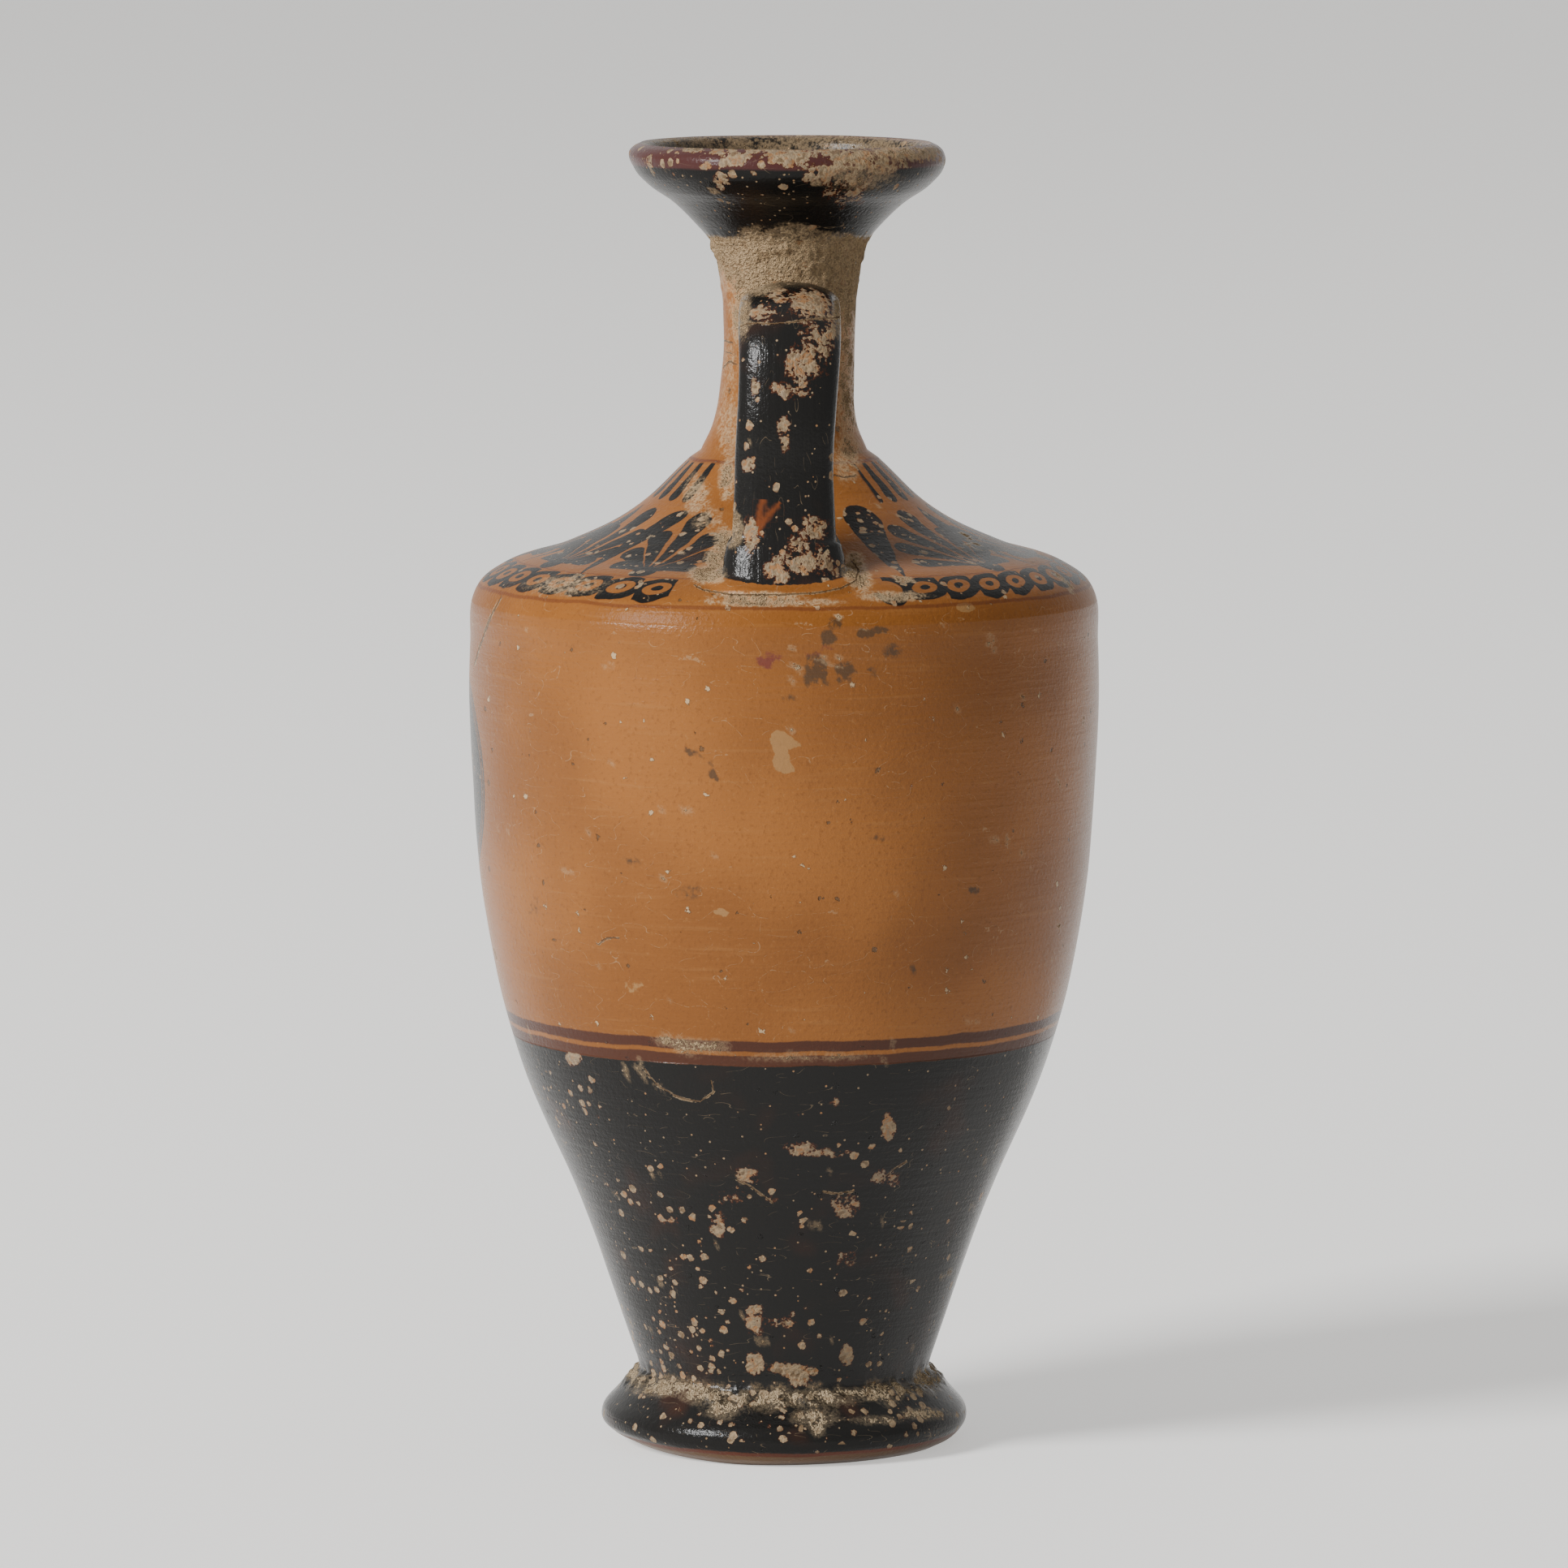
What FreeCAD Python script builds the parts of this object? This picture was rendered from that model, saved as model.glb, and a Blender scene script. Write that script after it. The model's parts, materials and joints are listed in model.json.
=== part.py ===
import FreeCAD, Part
import math
import os

# A black-figure oil jar of fired clay, thrown on a wheel and fired as one piece.
# It has a cup mouth, a narrow neck, a sloping shoulder, a tapering body and a disc foot.
# One strap handle runs from the neck to the shoulder on the -Y side.
# Millimetres, +Z up. The origin is the centre of the resting ring under the foot.

V = FreeCAD.Vector
UP = V(0, 0, 1)

# Heights of the five zones, from the resting plane up
foot_height = 12.8
body_height = 135.2
shoulder_height = 35.4
neck_height = 38.4
mouth_height = 18.2

# Foot: a rounded disc on a resting ring, hollowed underneath
foot_radius = 34.0
foot_widest_height = 5.2
foot_round_inset = 3.0
foot_round_drop = 3.4
foot_top_inset = 6.8
ring_inset = 4.6
ring_width = 7.4
hollow_depth = 4.0
hollow_side_depth = 3.2
floor_thickness = 7.0

# Body: a nearly straight taper that turns upright at the belly. Its lower radii are given
# out from the foot's top, its upper ones in from the shoulder
body_base_inset = 0.5
body_base_rise = 1.0
taper_swell = 9.8
taper_height = 30.6
belly_inset = 8.4
belly_height = 60.6
flank_inset = 3.1
flank_height = 83.6
upper_inset = 0.5
upper_height = 110.0
shoulder_radius = 57.8
body_wall = 4.2
floor_round = 9.0

# Shoulder: a soft edge, a shallow slope and a rise to the neck
edge_inset = 1.2
edge_rise = 10.2
brow_inset = 5.6
brow_rise = 14.2
slope_inset = 17.6
slope_rise = 18.4
rise_reach = 10.3
rise_drop = 10.7

# Neck, with a small raised step where it stands on the shoulder
neck_radius = 12.5
neck_wall = 4.3
neck_waist_low = 15.0
neck_waist_high = 30.0
step_reach = 4.8
step_width = 1.6
step_height = 1.4

# Mouth: a flaring cup with a rounded lip
mouth_base_flare = 1.8
cup_inset = 7.9
cup_height = 6.6
lip_radius = 29.1
lip_drop = 2.4
lip_crest_inset = 2.5
lip_round = 1.0
lip_wall = 5.0
lip_inner_drop = 3.0
bowl_wall = 3.8
bowl_rise = 1.0

# Handle: a strap of oval section. Its centre line stands on the shoulder, and is given
# in from that seat and up from the foot of the neck
handle_width = 18.2
handle_thickness = 8.2
handle_seat_inset = 11.2
handle_seat_depth = 22.0
handle_drop_inset = 3.0
handle_drop_height = 11.0
handle_bend_inset = 7.6
handle_bend_height = 23.4
handle_crest_inset = 19.6
handle_crest_height = 28.0
handle_root_height = 20.8
handle_seat_fillet = 4.0
handle_root_fillet = 2.0

# Levels of the zones
shoulder_z = foot_height + body_height
neck_z = shoulder_z + shoulder_height
mouth_z = neck_z + neck_height
top_z = mouth_z + mouth_height

# Radii that follow from the foot, the shoulder, the neck and the lip
foot_top_radius = foot_radius - foot_top_inset
ring_outer_radius = foot_radius - ring_inset
ring_inner_radius = ring_outer_radius - ring_width
body_base_radius = foot_top_radius - body_base_inset
step_radius = neck_radius + step_reach
neck_bore_radius = neck_radius - neck_wall
cup_radius = lip_radius - cup_inset
handle_seat_reach = shoulder_radius - handle_seat_inset
handle_crest_reach = handle_seat_reach - handle_crest_inset


def at(radius, height):
    """A point of the profile, in the XZ plane."""
    return V(radius, 0, height)


def direction(radial, vertical):
    """A tangent in the profile's plane, of unit length."""
    length = math.hypot(radial, vertical)
    return V(radial / length, 0, vertical / length)


def arc(a, b, c):
    """An arc from a to c through b."""
    return Part.Arc(a, b, c).toShape()


def lines(*points):
    """Straight runs from point to point."""
    return [Part.makeLine(a, b) for a, b in zip(points, points[1:])]


def smooth(points, start, end):
    """A smooth curve through the points, leaving and arriving in the given directions."""
    curve = Part.BSplineCurve()
    curve.interpolate(Points=points, InitialTangent=start, FinalTangent=end)
    return curve.toShape()


def through(points):
    """A smooth curve through the points, free at its ends."""
    curve = Part.BSplineCurve()
    curve.interpolate(points)
    return curve.toShape()


def inset(points, wall):
    """The inner points of a wall, each moved in at right angles to the outside."""
    moved = []
    for before, point, after in zip(points, points[1:], points[2:]):
        along = (after - before).normalize()
        moved.append(point + V(-along.z, 0, along.x) * wall)
    return moved


def turned(edges):
    """The solid that a closed profile makes when it turns round the axis."""
    face = Part.Face(Part.Wire(edges))
    return face.revolve(V(0, 0, 0), UP, 360)


# Body and shoulder from the foot up to the neck, which inside and outside share
body_wall_points = [
    at(body_base_radius, foot_height + body_base_rise),
    at(foot_top_radius + taper_swell, foot_height + taper_height),
    at(shoulder_radius - belly_inset, foot_height + belly_height),
    at(shoulder_radius - flank_inset, foot_height + flank_height),
    at(shoulder_radius - upper_inset, foot_height + upper_height),
    at(shoulder_radius, shoulder_z),
    at(shoulder_radius - edge_inset, shoulder_z + edge_rise),
    at(shoulder_radius - brow_inset, shoulder_z + brow_rise),
    at(shoulder_radius - slope_inset, shoulder_z + slope_rise),
    at(step_radius + rise_reach, neck_z - rise_drop),
    at(step_radius, neck_z - step_height),
]
lip_crest = at(lip_radius - lip_crest_inset, top_z)


def outside():
    """The jar as a solid lump, with its hollowed foot."""
    hollow_top = at(0, hollow_depth)
    hollow_side = at(ring_inner_radius / 2, hollow_side_depth)
    ring_inner = at(ring_inner_radius, 0)
    ring_outer = at(ring_outer_radius, 0)
    foot_widest = at(foot_radius, foot_widest_height)
    foot_round = at(foot_radius - foot_round_inset, foot_height - foot_round_drop)
    foot_top = at(foot_top_radius, foot_height)
    step_top = at(step_radius - step_width, neck_z)
    waist_low = at(neck_radius, neck_z + neck_waist_low)
    waist_high = at(neck_radius, neck_z + neck_waist_high)
    mouth_base = at(neck_radius + mouth_base_flare, mouth_z)
    cup = at(cup_radius, mouth_z + cup_height)
    lip = at(lip_radius, top_z - lip_drop)
    lip_shoulder = at(lip_radius - lip_round, top_z - lip_round)
    return turned([
        arc(hollow_top, hollow_side, ring_inner),
        *lines(ring_inner, ring_outer),
        smooth([ring_outer, foot_widest, foot_round, foot_top], direction(1, 0.5), direction(-1, 0.7)),
        *lines(foot_top, body_wall_points[0]),
        through(body_wall_points),
        *lines(body_wall_points[-1], step_top),
        smooth([step_top, waist_low, waist_high, mouth_base], direction(-0.5, 1), direction(0.6, 1)),
        smooth([mouth_base, cup, lip, lip_shoulder, lip_crest], direction(1, 1), direction(-1, 0)),
        *lines(lip_crest, at(0, top_z), hollow_top),
    ])


def inside():
    """The room for the oil, the bore of the neck and the bowl of the mouth.

    The potter's tool left the room plain, so its wall is straight from point to point."""
    floor_z = hollow_depth + floor_thickness
    floor_side = at(body_base_radius - body_wall, floor_z + floor_round)
    floor_edge = floor_side + V(-floor_round, 0, -floor_round)
    bore_bottom = at(neck_bore_radius, neck_z - step_height)
    bore_top = at(neck_bore_radius, mouth_z - bowl_rise)
    bowl = at(cup_radius - bowl_wall, mouth_z + cup_height + bowl_rise)
    lip_inner = at(lip_radius - lip_wall, top_z - lip_inner_drop)
    lip_inner_round = at(lip_radius - lip_wall + lip_round, top_z - lip_round)
    room_wall = [floor_edge, floor_side] + inset(body_wall_points, body_wall) + [bore_bottom, bore_top]
    return turned([
        *lines(at(0, floor_z), *room_wall),
        through([bore_top, bowl, lip_inner, lip_inner_round, lip_crest]),
        *lines(lip_crest, at(0, top_z), at(0, floor_z)),
    ])


def strap():
    """The handle, an oval carried along a bent centre line from the neck into the shoulder.

    It runs on through both walls, and the room for the oil trims it flush inside."""
    root = V(0, -neck_radius / 2, neck_z + handle_root_height)
    crest = V(0, -handle_crest_reach, neck_z + handle_crest_height)
    bend = V(0, -handle_seat_reach + handle_bend_inset, neck_z + handle_bend_height)
    drop = V(0, -handle_seat_reach + handle_drop_inset, neck_z + handle_drop_height)
    seat = V(0, -handle_seat_reach, neck_z - handle_seat_depth)
    tail = seat + (seat - drop).normalize() * (handle_thickness + body_wall)
    centre_line = through([root, crest, bend, drop, seat, tail])
    across = V(1, 0, 0)
    rise = centre_line.tangentAt(centre_line.FirstParameter).cross(across)
    oval = Part.Ellipse(root + across * (handle_width / 2), root + rise * (handle_thickness / 2), root)
    return Part.Wire([centre_line]).makePipeShell([Part.Wire([oval.toShape()])], True, False)


def joint(shape, nearest, farthest, lowest, highest):
    """The edges on the handle's side that lie within a reach and a height."""
    found = []
    for e in shape.Edges:
        box = e.BoundBox
        if -farthest < box.YMin and box.YMax < -nearest and lowest < box.ZMin and box.ZMax < highest:
            found.append(e)
    return found


def jar():
    """Lump, strap and room in one, with clay smoothed round both ends of the strap."""
    whole = outside().fuse(strap()).cut(inside()).Solids[0]
    seat = joint(whole, handle_crest_reach, shoulder_radius, shoulder_z, neck_z)
    whole = whole.makeFillet(handle_seat_fillet, seat)
    root = joint(whole, neck_radius / 2, handle_crest_reach, neck_z + neck_waist_low, mouth_z)
    return whole.makeFillet(handle_root_fillet, root).Solids[0]


os.makedirs("parts", exist_ok=True)
jar().exportStep("parts/lekythos.step")
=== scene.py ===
# A black-figure oil jar on a pale floor, seen from its handle's side as the photograph shows it.
# Millimetres in the named values, metres in Blender. +Z is up, and the handle stands towards -Y.
import json
import math
import bpy
import numpy as np
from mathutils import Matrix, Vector, noise
from mathutils.bvhtree import BVHTree

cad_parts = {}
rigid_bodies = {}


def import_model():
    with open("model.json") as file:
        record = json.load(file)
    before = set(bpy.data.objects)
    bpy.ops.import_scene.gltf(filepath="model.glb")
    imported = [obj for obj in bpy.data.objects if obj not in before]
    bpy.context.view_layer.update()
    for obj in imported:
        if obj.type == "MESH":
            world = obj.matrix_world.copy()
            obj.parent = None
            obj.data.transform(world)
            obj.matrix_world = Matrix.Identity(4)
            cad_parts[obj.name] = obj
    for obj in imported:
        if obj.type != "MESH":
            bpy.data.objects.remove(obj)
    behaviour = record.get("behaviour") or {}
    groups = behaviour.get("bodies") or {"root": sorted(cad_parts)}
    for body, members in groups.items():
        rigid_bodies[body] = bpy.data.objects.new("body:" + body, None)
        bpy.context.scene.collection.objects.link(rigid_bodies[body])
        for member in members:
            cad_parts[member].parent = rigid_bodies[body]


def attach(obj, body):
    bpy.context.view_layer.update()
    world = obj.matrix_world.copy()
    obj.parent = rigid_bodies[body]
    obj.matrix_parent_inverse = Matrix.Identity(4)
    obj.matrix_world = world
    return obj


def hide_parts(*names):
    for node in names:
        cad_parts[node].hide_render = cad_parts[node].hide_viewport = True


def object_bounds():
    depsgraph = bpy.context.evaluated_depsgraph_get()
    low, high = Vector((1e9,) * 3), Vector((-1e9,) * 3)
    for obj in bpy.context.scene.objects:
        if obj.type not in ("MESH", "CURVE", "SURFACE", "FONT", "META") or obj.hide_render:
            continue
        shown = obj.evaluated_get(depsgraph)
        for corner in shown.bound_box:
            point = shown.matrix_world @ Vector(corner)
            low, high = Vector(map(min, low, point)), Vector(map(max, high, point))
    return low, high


for left_over in ("Cube", "Light", "Camera"):
    if left_over in bpy.data.objects:
        bpy.data.objects.remove(bpy.data.objects[left_over])
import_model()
cad_low, cad_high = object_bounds()
MM = 0.001

# Levels of the jar, as the frame has them
foot_top = 12.8
body_base = 13.8
shoulder_edge = 148.0
shoulder_foot = 156.0
neck_step = 182.0
neck_foot = 183.4
mouth_foot = 221.8
bowl_foot = 220.8
rim_top = cad_high.z / MM
above_rim = rim_top + 6

# The photograph's camera: its frame, where it stands, what it looks at and its scale
photo_width = 1932
photo_centre = 966
camera_place = Vector((0, -1.648, 0.298))
camera_target = Vector((0, 0, 0.1217))
pixels_per_mm = 6.70
sensor_width = 36.0

# How finely the jar is turned, the steps between two points of its wall, and what lies together
turn_steps = 256
wall_steps = 17
merge_gap = 0.02 * MM

# Profile of the jar, each line as radius and height, with the steps between two of its points.
# The lump is the outside, and the room is what the potter hollowed out of it
lump_lines = {
    "hollow": (5, "AUTO", [(0, 4.0), (11, 3.2), (22, 0)]),
    "ring": (2, "VECTOR", [(22, 0), (29.4, 0)]),
    "foot": (8, "AUTO", [(29.4, 0), (32.3, 1.7), (33.9, 5.0), (31.2, 9.2), (27.2, foot_top)]),
    "junction": (2, "VECTOR", [(27.2, foot_top), (26.7, body_base)]),
    "wall": (wall_steps, "AUTO", [
        (26.7, body_base), (37.0, 43.4), (49.4, 73.4), (54.7, 96.4), (57.3, 122.8), (57.7, shoulder_edge),
        (56.6, 158.2), (52.2, 162.2), (40.2, 166.4), (27.6, 172.7), (17.3, neck_step)]),
    "step": (2, "VECTOR", [(17.3, neck_step), (15.3, neck_foot)]),
    "neck": (8, "AUTO", [
        (15.3, neck_foot), (13.2, 188.5), (12.3, 197), (12.2, 207), (12.8, 217), (14.3, mouth_foot)]),
    "cup": (6, "AUTO", [
        (14.3, mouth_foot), (21.1, 228.4), (26.6, 232.4), (29.1, 235.9), (29.0, 238.0), (28.1, 239.2),
        (26.6, rim_top)]),
    "lid": (1, "VECTOR", [(26.6, rim_top), (0, rim_top)]),
}
room_lines = {
    "above": (1, "VECTOR", [(0, above_rim), (26.6, above_rim), (26.6, rim_top)]),
    "bowl": (6, "AUTO", [(26.6, rim_top), (25.1, 239.2), (24.1, 237), (17.4, 229.4), (8.2, 220.8)]),
    "bore": (3, "VECTOR", [(8.2, 220.8), (8.2, neck_step)]),
    "room": (3, "VECTOR", [
        (8.2, neck_step), (26.0, 169.0), (38.4, 162.6), (50.0, 158.6), (53.6, shoulder_edge), (53.1, 123.0),
        (50.6, 97.5), (45.4, 75.0), (33.0, 44.8), (22.5, 20.0), (13.5, 11.0), (0, 11.0)]),
}

# Centre line of the handle from its foot to its root: reach towards -Y, height, and how much
# wider the strap is there than at its middle
strap_width = 17.9
strap_thickness = 8.2
strap_steps = 10
strap_line = [
    (46.9, 158.6, 1.42), (46.6, 161.4, 1.34), (46.0, 164.6, 1.19), (45.2, 170.0, 1.05), (44.3, 181.0, 1.0),
    (43.6, 194.4, 1.0), (39.0, 206.8, 1.04), (27.0, 211.4, 1.02), (14.5, 207.2, 0.90), (6.25, 204.2, 0.84)]

# What the hand left uneven, in mm: the neck's lean, the mouth's tilt and drop, the foot's lift,
# and the pad of clay under the handle with its crack
neck_lean = 1.0
mouth_tilt = 0.0152
mouth_drop = 0.4
foot_lift = 0.9
pad_centre = 47.0
pad_half_width = 14.0
pad_half_depth = 8.0
pad_height = 0.8
crack_depth = 0.4
crust_limit = 1.2

# Finishes of the jar, in the order of its material slots
finishes = (
    "painted_body", "painted_shoulder", "handle_slip", "neck_clay", "mouth_slip", "foot_slip", "bare_clay")

# Colours, as written in a render's own values
orange_clay = (0.330, 0.123, 0.028, 1)
orange_dark = (0.185, 0.064, 0.014, 1)
orange_pale = (0.405, 0.193, 0.065, 1)
black_gloss = (0.0095, 0.0088, 0.0080, 1)
thin_gloss = (0.070, 0.021, 0.009, 1)
red_brown = (0.105, 0.026, 0.013, 1)
purple_red = (0.068, 0.023, 0.021, 1)
purple_stroke = (0.150, 0.034, 0.028, 1)
band_maroon = (0.056, 0.018, 0.012, 1)
streak_brown = (0.190, 0.050, 0.014, 1)
lime_tan = (0.330, 0.236, 0.138, 1)
lime_grey = (0.225, 0.170, 0.110, 1)
earth_brown = (0.120, 0.070, 0.034, 1)
smudge_brown = (0.072, 0.042, 0.022, 1)
pale_patch = (0.370, 0.205, 0.080, 1)
crust_pale = (0.560, 0.395, 0.225, 1)
crust_grey = (0.370, 0.268, 0.162, 1)
crust_brown = (0.220, 0.135, 0.070, 1)
# The foot ridge's crust: the crust's own colours made brighter as painted light, as if a hard lamp fell on
# the ridge
ridge_pale_painted_lit = (0.640, 0.490, 0.310, 1)
ridge_grey_painted_lit = (0.410, 0.300, 0.180, 1)
foot_clay = (0.150, 0.082, 0.036, 1)
foot_dark = (0.090, 0.046, 0.021, 1)
floor_pale = (0.86, 0.85, 0.83, 1)


def select_only(*pieces):
    bpy.ops.object.select_all(action="DESELECT")
    for piece in pieces:
        piece.select_set(True)
    bpy.context.view_layer.objects.active = pieces[0]


def set_mode(mode):
    bpy.ops.object.mode_set(mode=mode)


def bent_line(name, knots, steps, handles):
    """A curve through the given places, with so many steps from one to the next."""
    bpy.ops.curve.primitive_bezier_curve_add(location=(0, 0, 0))
    curve = bpy.context.object
    curve.name = name
    spline = curve.data.splines[0]
    spline.bezier_points.add(len(knots) - 2)
    spline.resolution_u = steps
    for point, place in zip(spline.bezier_points, knots):
        point.co = place
    for point in spline.bezier_points:
        point.handle_left_type = handles
        point.handle_right_type = handles
    return curve


def to_mesh(piece):
    select_only(piece)
    bpy.ops.object.convert(target="MESH")
    return bpy.context.object


def close_shell(piece):
    """Merges what lies together and turns the faces outwards."""
    select_only(piece)
    set_mode("EDIT")
    bpy.ops.mesh.select_all(action="SELECT")
    bpy.ops.mesh.remove_doubles(threshold=merge_gap)
    bpy.ops.mesh.normals_make_consistent(inside=False)
    set_mode("OBJECT")


def turned(name, profile_lines):
    """Draws a profile line by line, joins it and turns it round the axis."""
    lines = []
    for line, (steps, handles, knots) in profile_lines.items():
        places = [(radius * MM, 0, height * MM) for radius, height in knots]
        lines.append(to_mesh(bent_line(line, places, steps, handles)))
    select_only(*lines)
    bpy.ops.object.join()
    shell = bpy.context.object
    shell.name = name
    close_shell(shell)
    set_mode("EDIT")
    bpy.ops.mesh.select_all(action="SELECT")
    bpy.ops.mesh.spin(steps=turn_steps, angle=2 * math.pi, center=(0, 0, 0), axis=(0, 0, 1))
    set_mode("OBJECT")
    close_shell(shell)
    zone_faces(shell)
    return shell


def zone_of(reach, height, room):
    """Which finish a turned surface has at a place, in millimetres."""
    if room:
        return "mouth_slip" if height > bowl_foot else "bare_clay"
    if height < 4.2 and reach < 21.8:
        return "bare_clay"
    if height < (foot_top + body_base) / 2:
        return "foot_slip"
    if height < shoulder_foot:
        return "painted_body"
    if height < (neck_step + neck_foot) / 2:
        return "painted_shoulder"
    return "neck_clay" if height < mouth_foot else "mouth_slip"


def zone_faces(piece):
    """Gives each face of a shell the slot of its finish."""
    for finish in finishes:
        piece.data.materials.append(bpy.data.materials[finish])
    for face in piece.data.polygons:
        if piece.name == "strap":
            zone = "handle_slip"
        else:
            place = face.center / MM
            zone = zone_of(math.hypot(place.x, place.y), place.z, piece.name == "room")
        face.material_index = finishes.index(zone)


def shape_strap():
    """The handle: an oval carried along its bent line, spreading at both ends."""
    places = [(0, -reach * MM, height * MM) for reach, height, _ in strap_line]
    path = bent_line("strap", places, strap_steps, "AUTO")
    for point, (_, _, spread) in zip(path.data.splines[0].bezier_points, strap_line):
        point.radius = spread
    bpy.ops.curve.primitive_bezier_circle_add(radius=1, location=(0, 0, 0))
    oval = bpy.context.object
    bpy.ops.transform.resize(value=(strap_width / 2 * MM, strap_thickness / 2 * MM, 1))
    bpy.ops.object.transform_apply(scale=True)
    path.data.bevel_mode = "OBJECT"
    path.data.bevel_object = oval
    path.data.use_fill_caps = True
    strap = to_mesh(path)
    bpy.data.objects.remove(oval)
    close_shell(strap)
    zone_faces(strap)
    return strap


def carve(piece, tool, operation):
    """Adds a tool's shell to a piece or takes it away, and clears the tool."""
    select_only(piece)
    step = piece.modifiers.new(tool.name, "BOOLEAN")
    step.operation = operation
    step.solver = "EXACT"
    step.object = tool
    bpy.ops.object.modifier_apply(modifier=step.name)
    bpy.data.objects.remove(tool)


def smooth_seams(piece, rings, rounds):
    """Smooths the clay along both joints of the handle, as a potter's finger does."""
    mesh = piece.data
    handle = finishes.index("handle_slip")
    kinds = [set() for _ in mesh.vertices]
    for face in mesh.polygons:
        for corner in face.vertices:
            kinds[corner].add(face.material_index == handle)
    select_only(piece)
    set_mode("EDIT")
    bpy.ops.mesh.select_mode(type="VERT")
    bpy.ops.mesh.select_all(action="DESELECT")
    set_mode("OBJECT")
    for vertex, kind in zip(mesh.vertices, kinds):
        outside = math.hypot(vertex.co.x, vertex.co.y) > 10 * MM
        vertex.select = len(kind) == 2 and outside
    set_mode("EDIT")
    for _ in range(rings):
        bpy.ops.mesh.select_more()
    bpy.ops.mesh.vertices_smooth(factor=0.5, repeat=rounds)
    set_mode("OBJECT")


def ramp(value, low, high):
    """Goes smoothly from 0 at low to 1 at high, for many values at once."""
    share = np.clip((value - low) / (high - low), 0, 1)
    return share * share * (3 - 2 * share)


def lumps(places, scale, seed):
    """Soft noise from -1 to 1 at each place, with so many lumps in a millimetre."""
    shift = Vector((seed * 17.3, seed * 5.1, seed * 9.7))
    return np.array([noise.noise(Vector(place) * scale + shift) for place in places])


def read_mesh(piece):
    """Places and outward directions of all corners, in millimetres."""
    count = len(piece.data.vertices)
    places = np.empty(count * 3)
    ways = np.empty(count * 3)
    piece.data.vertices.foreach_get("co", places)
    piece.data.vertex_normals.foreach_get("vector", ways)
    return places.reshape(-1, 3) / MM, ways.reshape(-1, 3)


def outer_mask(piece):
    """1 for the corners on the jar's outside, 0 for those of the room, the bore and the bowl."""
    inner = np.zeros(len(piece.data.vertices), bool)
    for face in piece.data.polygons:
        if finishes[face.material_index] == "bare_clay":
            inner[list(face.vertices)] = True
    return ~inner


def weather(piece):
    """Moves the surface: it leans and waves a little, with crusts, the pad's crack and dents."""
    places, ways = read_mesh(piece)
    outer = outer_mask(piece)
    x, y, z = places.T
    reach = np.hypot(x, y)
    lean = ramp(z, 182, 205)
    moved = places.copy()
    moved[:, 0] += neck_lean * lean * (1 - 0.6 * ramp(z, 216, 236))
    moved[:, 2] += (mouth_tilt * y - mouth_drop) * ramp(z, 224, 236) * ramp(reach, 8, 24)
    narrow = ramp(-x, 8, 27) * ramp(z, 222, 231) * (1 - ramp(z, 235, 239))
    moved[:, 0] += narrow
    lift = foot_lift * ramp(-x, 8, 30) * (1 - ramp(z, 0.5, 5)) * ramp(reach, 20, 30)
    moved[:, 2] += np.where(outer, lift, 0)
    wave = lumps(places, 0.035, 1) * 0.16 + lumps(places, 0.12, 2) * 0.05
    push = np.where(outer, wave - 0.12, 0.0)
    junction = ramp(z, 9.8, 11.8) * (1 - ramp(z, 12.9, 14.6)) * ramp(reach, 24, 26)
    ridge = junction * (0.28 + 0.8 * lumps(places, 0.35, 3) + 0.6 * lumps(places, 0.9, 4))
    crust = np.where(outer, ridge, 0)
    throat = ramp(z, 207 + 4 * lumps(places, 0.08, 5), 219) * (1 - ramp(z, 221, 223.5))
    on_neck = (reach < 18) & outer & (reach > 11)
    neck_crust = throat * (0.30 + 0.5 * lumps(places, 0.4, 6) + 0.4 * lumps(places, 1.0, 7))
    crust = crust + np.where(on_neck, neck_crust, 0)
    push = push + np.clip(crust, 0, crust_limit)
    pad = np.hypot(x / pad_half_width, (y + pad_centre) / pad_half_depth)
    on_shoulder = outer & (z < 170) & (z > 155)
    push = push + np.where(on_shoulder, pad_height * (1 - ramp(pad, 0.86, 1.02)), 0)
    crack = crack_depth * np.exp(-((pad - 1.03) / 0.05) ** 2) * ramp(-y, 46, 50)
    push = push - np.where(on_shoulder, crack, 0)
    moved += ways * push[:, None]
    piece.data.vertices.foreach_set("co", (moved * MM).ravel())
    piece.data.update()


# Lines kept on the mesh: how much faster they fade past their ends, and how far they reach, in mm
end_falloff = 5
line_reach = 2.2


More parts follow.
